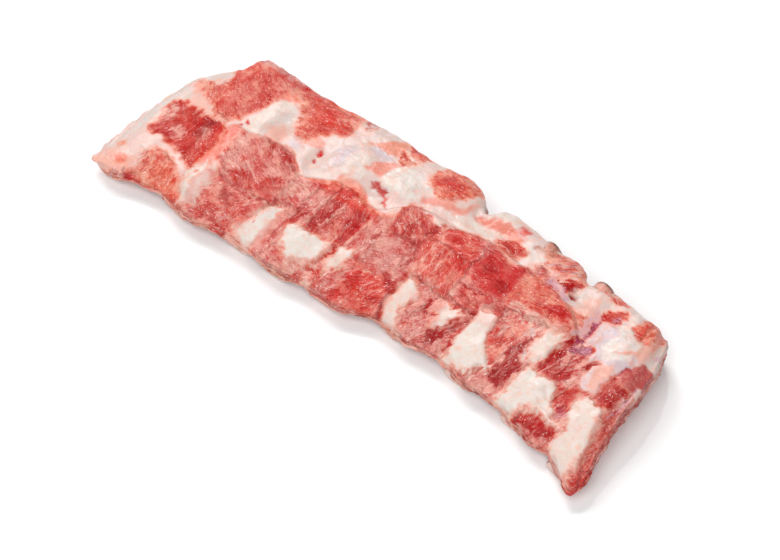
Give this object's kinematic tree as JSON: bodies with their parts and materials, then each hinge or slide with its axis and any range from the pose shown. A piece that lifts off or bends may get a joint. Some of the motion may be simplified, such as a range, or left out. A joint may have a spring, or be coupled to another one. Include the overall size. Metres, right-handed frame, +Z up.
{
  "type": "raw rack of ribs",
  "caption": "Raw rack of pork back ribs lying meat side up, a thin curved slab of lean and fat over sawn rib bones.",
  "frame": {"origin": "on the table, under the middle of the rack's box", "axes": "+X along the rack, +Y across it from the cut rib ends to the spine side, +Z up from the table"},
  "size_m": [0.3302, 0.1137, 0.0294],
  "materials": {
    "meat": "moist raw lean and fat",
    "bone": "sawn raw bone under a thin membrane"
  },
  "bodies": {
    "root": {"meat": "meat", "rib_1": "bone", "rib_2": "bone", "rib_3": "bone", "rib_4": "bone", "rib_5": "bone", "rib_6": "bone", "rib_7": "bone", "rib_8": "bone", "rib_9": "bone"}
  },
  "joints": []
}
